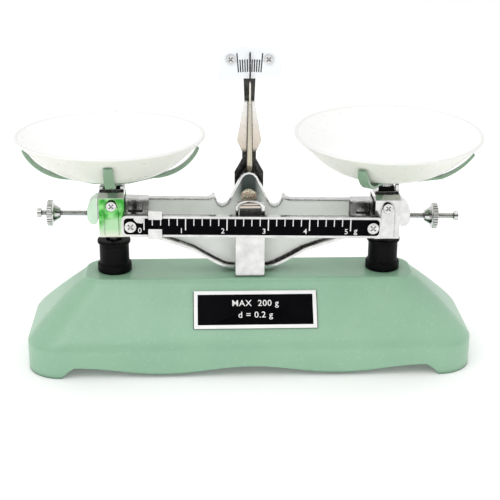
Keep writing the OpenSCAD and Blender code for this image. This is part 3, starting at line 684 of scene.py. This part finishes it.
def dish(side):
    """A pan: shallow moulded bowl with a thick rolled lip, whose crest is marked for a painted shade
    line in its material.
    """
    name = SIDE_NAMES[side]
    inside = PAN_BOTTOM + PAN_WALL
    flat = 8 * MM
    outer = [(0.0, PAN_BOTTOM), (flat, PAN_BOTTOM)] + bowl(0.0)
    inner = list(reversed(bowl(PAN_WALL))) + [(flat, inside), (0.0, inside)]
    lip = [(PAN_R - inset * MM, PAN_RIM - drop * MM) for inset, drop in LIP]
    profile = outer + between(outer[-1], lip[0], 3) + lip + between(lip[-1], inner[0], 3) + inner
    bm = lathe(profile, 128)
    seat = Matrix.Translation((side * ARM * math.cos(BEAM_LEAN), 0, SEAT_Z[side]))
    to_place = seat @ Matrix.Rotation(LEAN[side], 4, "X") @ Matrix.Translation((0, 0, -STRIP_T))
    bmesh.ops.transform(bm, matrix=to_place, verts=bm.verts)
    mesh = mesh_of(f"{name}_dish", bm)
    # the crest of the lip is marked for a painted shade line
    crest_shade = mesh.attributes.new("lip", "FLOAT", "POINT")
    to_level = to_place.inverted()
    for vertex, mark in zip(mesh.vertices, crest_shade.data):
        mark.value = 1.0 if (to_level @ vertex.co).z > PAN_RIM - 0.3 * MM else 0.0
    obj = piece(f"{name}_dish", mesh, "pan_plastic", BODY_OF[f"{name}_pan"],
                [f"{name}_pan"])
    smooth = obj.modifiers.new("smooth", "SUBSURF")
    smooth.levels = smooth.render_levels = 1


for which in (LEFT, RIGHT):
    dish(which)

# ------------------------------------------------------------------ rods and nuts

ROD_Z = 81.4 * MM
ROD_R = 1.5 * MM
ROD_START, ROD_END = 84 * MM, 118 * MM
PITCH = 0.5 * MM
THREAD_DEPTH = 0.28 * MM
BORE_R = ROD_R + 0.05 * MM
NUT_R = 7.3 * MM
NUT_LENGTH = 7.3 * MM
NUT_FACE = {LEFT: 113.5 * MM, RIGHT: 107.1 * MM}


def laid_along_x(bm, start, side):
    """Turns a solid made along +Z to lie along the beam from a start, outwards on its side."""
    turn = Matrix.Rotation(math.radians(90 * side), 4, "Y")
    to_place = ON_BEAM @ Matrix.Translation((start, 0, ROD_Z)) @ turn
    bmesh.ops.transform(bm, matrix=to_place, verts=bm.verts)


def threaded_rod(side):
    """The balance rod with a rolled thread."""
    name = SIDE_NAMES[side]
    length = ROD_END - ROD_START
    around = 24
    rows = 4 * int(length / PITCH)
    bm = bmesh.new()
    rings = []
    for k in range(rows + 1):
        z = length * k / rows
        ring = []
        for i in range(around):
            a = 2 * math.pi * i / around
            phase = (z / PITCH - i / around) % 1.0
            at_end = k in (0, rows)
            r = ROD_R - THREAD_DEPTH * (1.0 if at_end else abs(2 * phase - 1))
            ring.append(Vector((r * math.cos(a), r * math.sin(a), z)))
        rings.append(ring)
    made = skin(bm, rings)
    bm.faces.new(made[0])
    bm.faces.new(made[-1])
    laid_along_x(bm, side * ROD_START, side)
    mesh = mesh_of(f"{name}_threaded_rod", bm)
    piece(f"{name}_threaded_rod", mesh, "steel", BODY_OF[f"{name}_rod"], [f"{name}_rod"])


def knurl(count, depth, low, high):
    """A radius that drops in grooves all round between two heights."""
    def shape(radius, height, angle):
        if low < height < high:
            return radius - depth * max(0.0, math.cos(count * angle)) ** 2
        return radius
    return shape


def balance_nut(side):
    """A round nut with a knurled rim, a turned face and a cone towards the beam."""
    name = SIDE_NAMES[side]
    face = [(BORE_R, 0), (3.6 * MM, 0), (4.0 * MM, 0.35 * MM), (5.6 * MM, 0.35 * MM), (6.0 * MM, 0),
            (NUT_R - 0.55 * MM, 0.02 * MM), (NUT_R - 0.2 * MM, 0.18 * MM), (NUT_R, 0.5 * MM)]
    rim = [(NUT_R, (0.6 + 0.2 * i) * MM) for i in range(11)]
    cone = [(NUT_R - 0.2 * MM, 2.95 * MM), (NUT_R - 0.5 * MM, 3.15 * MM), (5.8 * MM, 3.3 * MM),
            (5.2 * MM, 3.7 * MM), (4.0 * MM, 5.3 * MM), (3.3 * MM, 6.4 * MM), (3.0 * MM, 7.0 * MM),
            (2.7 * MM, NUT_LENGTH), (BORE_R, NUT_LENGTH), (BORE_R, 0)]
    bm = lathe(face + rim + cone, 168, knurl(28, 0.45 * MM, 0.45 * MM, 2.65 * MM))
    laid_along_x(bm, side * NUT_FACE[side], -side)
    mesh = mesh_of(f"{name}_balance_nut", bm)
    mesh.set_sharp_from_angle(angle=math.radians(35))
    piece(f"{name}_balance_nut", mesh, "chrome", BODY_OF[f"{name}_nut"], [f"{name}_nut"])


def knurled_clamp(side):
    """The small knurled nut that holds the cradle."""
    name = SIDE_NAMES[side]
    low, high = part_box(f"{name}_clamp_nut")
    radius = (high[0] - low[0]) / 2
    base, top = low[2], high[2]
    edge = min(0.35 * MM, 0.25 * (top - base))
    profile = [(BORE_R, base), (radius - edge, base), (radius, base + edge), (radius, (base + top) / 2),
               (radius, top - edge), (radius - edge, top), (BORE_R, top), (BORE_R, base)]
    bm = lathe(profile, 144, knurl(24, 0.35 * MM, base + 0.1 * MM, top - 0.1 * MM))
    bmesh.ops.translate(bm, verts=bm.verts, vec=((low[0] + high[0]) / 2, 0, 0))
    mesh = mesh_of(f"{name}_knurled_clamp", bm)
    mesh.set_sharp_from_angle(angle=math.radians(35))
    nut = f"{name}_clamp_nut"
    piece(f"{name}_knurled_clamp", mesh, "steel", BODY_OF[nut], [nut])


for which in (LEFT, RIGHT):
    threaded_rod(which)
    balance_nut(which)
    knurled_clamp(which)

# ------------------------------------------------------------------ printed marks


def slab(bm, low, high):
    """A box between two corners, added to a mesh."""
    v = [bm.verts.new((x, y, z)) for x in (low[0], high[0]) for y in (low[1], high[1])
         for z in (low[2], high[2])]
    for face in ((0, 1, 3, 2), (4, 6, 7, 5), (0, 4, 5, 1), (2, 3, 7, 6), (0, 2, 6, 4), (1, 5, 7, 3)):
        bm.faces.new([v[i] for i in face])


def lettering(name, text, size, place, turn, body):
    """Printed white characters as a thin solid, centred on a place."""
    curve = bpy.data.curves.new(name, "FONT")
    curve.body = text
    curve.size = size
    curve.align_x = "CENTER"
    curve.align_y = "CENTER"
    curve.extrude = 0.04 * MM
    curve.offset = 0.004 * size
    curve.space_character = 1.08
    curve.resolution_u = 4
    maker = bpy.data.objects.new(name, curve)
    bpy.context.scene.collection.objects.link(maker)
    bpy.context.view_layer.update()
    mesh = bpy.data.meshes.new_from_object(maker.evaluated_get(bpy.context.evaluated_depsgraph_get()))
    bpy.data.objects.remove(maker)
    mesh.transform(Matrix.Translation(place) @ turn)
    mesh.name = name
    return piece(name, mesh, "white_ink", body)


# how far a printed mark stands out of its face
PRINT_T = 0.05 * MM
UPRIGHT_ON_BEAM = Matrix.Rotation(BEAM_LEAN, 4, "Y") @ Matrix.Rotation(math.radians(90), 4, "X")
# place of the zero mark, and the length of one gram along the rider bar
ZERO_X = -58.8 * MM
GRAM = 22.9 * MM
# heights of the lower and upper edges of the bar's black face
FACE_LOW, FACE_HIGH = 75.5 * MM, 84.9 * MM
FACE_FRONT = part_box("scale_face")[0][1]
# angle between two lines of the dial, and their distances from the knife edge
DIAL_STEP = math.radians(0.96)
DIAL_INNER, DIAL_OUTER, DIAL_LONG = 73.6 * MM, 80.6 * MM, 84.3 * MM
PLATE_SLOPE = math.radians(49.1)


def scale_marks():
    """Six numbered gram marks with four shorter ones between each pair."""
    bm = bmesh.new()
    top = FACE_HIGH - 0.15 * MM
    for k in range(26):
        x = ZERO_X + GRAM * k / 5
        numbered = k % 5 == 0
        half = (0.30 if numbered else 0.24) * MM
        length = (6.6 if numbered else 4.0) * MM
        slab(bm, (x - half, FACE_FRONT - PRINT_T, top - length), (x + half, FACE_FRONT + PRINT_T, top))
    bmesh.ops.transform(bm, matrix=ON_BEAM, verts=bm.verts)
    body = BODY_OF["scale_face"]
    piece("scale_marks", mesh_of("scale_marks", bm, False), "white_ink", body)
    number_z = FACE_LOW + 2.2 * MM
    for gram in range(6):
        place = ON_BEAM @ Vector((ZERO_X + GRAM * gram - 2.3 * MM, FACE_FRONT, number_z))
        lettering(f"scale_number_{gram}", str(gram), 4.3 * MM, place, UPRIGHT_ON_BEAM, body)
    place = ON_BEAM @ Vector((ZERO_X + 5 * GRAM + 2.9 * MM, FACE_FRONT, number_z + 0.6 * MM))
    lettering("scale_unit", "g", 4.6 * MM, place, UPRIGHT_ON_BEAM, body)


def dial_marks():
    """Eleven lines that converge on the knife edge, the middle and end ones longer."""
    bm = bmesh.new()
    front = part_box("dial_plate")[0][1]
    half = 0.32 * MM
    for k in range(-5, 6):
        angle = DIAL_STEP * k
        across = Vector((math.cos(angle), 0, -math.sin(angle))) * half
        out = Vector((math.sin(angle), 0, math.cos(angle)))
        start = Vector((0, 0, PIVOT_Z)) + out * DIAL_INNER
        end = Vector((0, 0, PIVOT_Z)) + out * (DIAL_LONG if abs(k) in (0, 5) else DIAL_OUTER)
        corners = [start - across, start + across, end + across, end - across]
        back = [bm.verts.new(c + Vector((0, front + 0.04 * MM, 0))) for c in corners]
        face = [bm.verts.new(c + Vector((0, front - PRINT_T, 0))) for c in corners]
        bm.faces.new(face)
        bm.faces.new(back)
        for i in range(4):
            j = (i + 1) % 4
            bm.faces.new((face[i], face[j], back[j], back[i]))
    mesh = mesh_of("dial_marks", bm, False)
    piece("dial_marks", mesh, "black_ink", BODY_OF["dial_plate"])


def plate_print():
    """A white border and two lines of plain capacity figures on the rating plate."""
    low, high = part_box("rating_plate")
    middle = (Vector(low) + Vector(high)) / 2
    slope = Matrix.Rotation(PLATE_SLOPE, 4, "X")
    place = Matrix.Translation(middle + slope @ Vector((0, 0, 0.32 * MM))) @ slope
    half_w, half_h, rim = 34.4 * MM, 11.0 * MM, 2.1 * MM
    sides = ((-half_w, half_h - rim, half_w, half_h), (-half_w, -half_h, half_w, -half_h + rim),
             (-half_w, -half_h + rim, -half_w + rim, half_h - rim),
             (half_w - rim, -half_h + rim, half_w, half_h - rim))
    bm = bmesh.new()
    for x0, y0, x1, y1 in sides:
        slab(bm, (x0, y0, -PRINT_T), (x1, y1, PRINT_T))
    bmesh.ops.transform(bm, matrix=place, verts=bm.verts)
    body = BODY_OF["rating_plate"]
    piece("plate_border", mesh_of("plate_border", bm, False), "white_ink", body)
    rows = (("plate_line_1", "MAX  200 g", 3.6 * MM), ("plate_line_2", "d = 0.2 g", -3.2 * MM))
    for name, text, y in rows:
        lettering(name, text, 5.0 * MM, place @ Vector((0, y, 0)), slope, body)


scale_marks()
dial_marks()
plate_print()

# ------------------------------------------------------------------ floor and light


def make_floor():
    """A plain pale floor, just under the feet."""
    mesh = bpy.data.meshes.new("floor")
    half = 6.0
    corners = [(-half, -half, 0), (half, -half, 0), (half, half, 0), (-half, half, 0)]
    mesh.from_pydata(corners, [], [(0, 1, 2, 3)])
    floor = bpy.data.objects.new("floor", mesh)
    floor.location.z = -0.2 * MM
    bpy.context.scene.collection.objects.link(floor)
    s = Shader("floor")
    s.colour(s.mix(s.noise(3, 2), (0.93, 0.93, 0.93), (0.95, 0.95, 0.95)))
    s.set(Roughness=0.7, Specular_IOR_Level=0.2, Emission_Color=(1, 1, 1, 1), Emission_Strength=0.12)
    mesh.materials.append(s.material)


def make_light(name, place, size, watts):
    """A soft rectangular lamp turned to the middle of the balance."""
    target = Vector((0, 0, 0.06))
    data = bpy.data.lights.new(name, "AREA")
    data.shape = "RECTANGLE"
    data.size, data.size_y = size
    data.energy = watts
    light = bpy.data.objects.new(name, data)
    light.location = place
    light.rotation_euler = (target - Vector(place)).to_track_quat("-Z", "Y").to_euler()
    bpy.context.scene.collection.objects.link(light)


def make_world():
    """White surroundings, with a dark low room at the front that bright metal mirrors on its edges."""
    world = bpy.data.worlds.new("studio")
    world.use_nodes = True
    n = Nodes(world.node_tree)
    white = (1, 1, 1)
    _, y, z = n.split(n.add("ShaderNodeTexCoord").outputs["Generated"])
    greys = ((0.0, 1), (0.04, 0.9), (0.10, 0.03), (0.55, 0.03), (0.66, 0.95), (1.0, 1))
    front = n.ramp(z, [(height, (grey, grey, grey)) for height, grey in greys])
    room = n.mix(n.spread(y, -0.15, 0.15), front, white)
    mirrored = n.add("ShaderNodeLightPath").outputs["Is Glossy Ray"]
    background = n.tree.nodes["Background"]
    n.link(n.mix(mirrored, white, room), background.inputs["Color"])
    background.inputs["Strength"].default_value = 0.85
    bpy.context.scene.world = world


make_floor()
make_world()
make_light("key", (-0.5, -0.7, 1.1), (0.9, 0.9), 4.0)
make_light("top", (0.1, 0.3, 1.3), (1.2, 0.8), 3.5)
bpy.context.scene.view_settings.view_transform = "Standard"
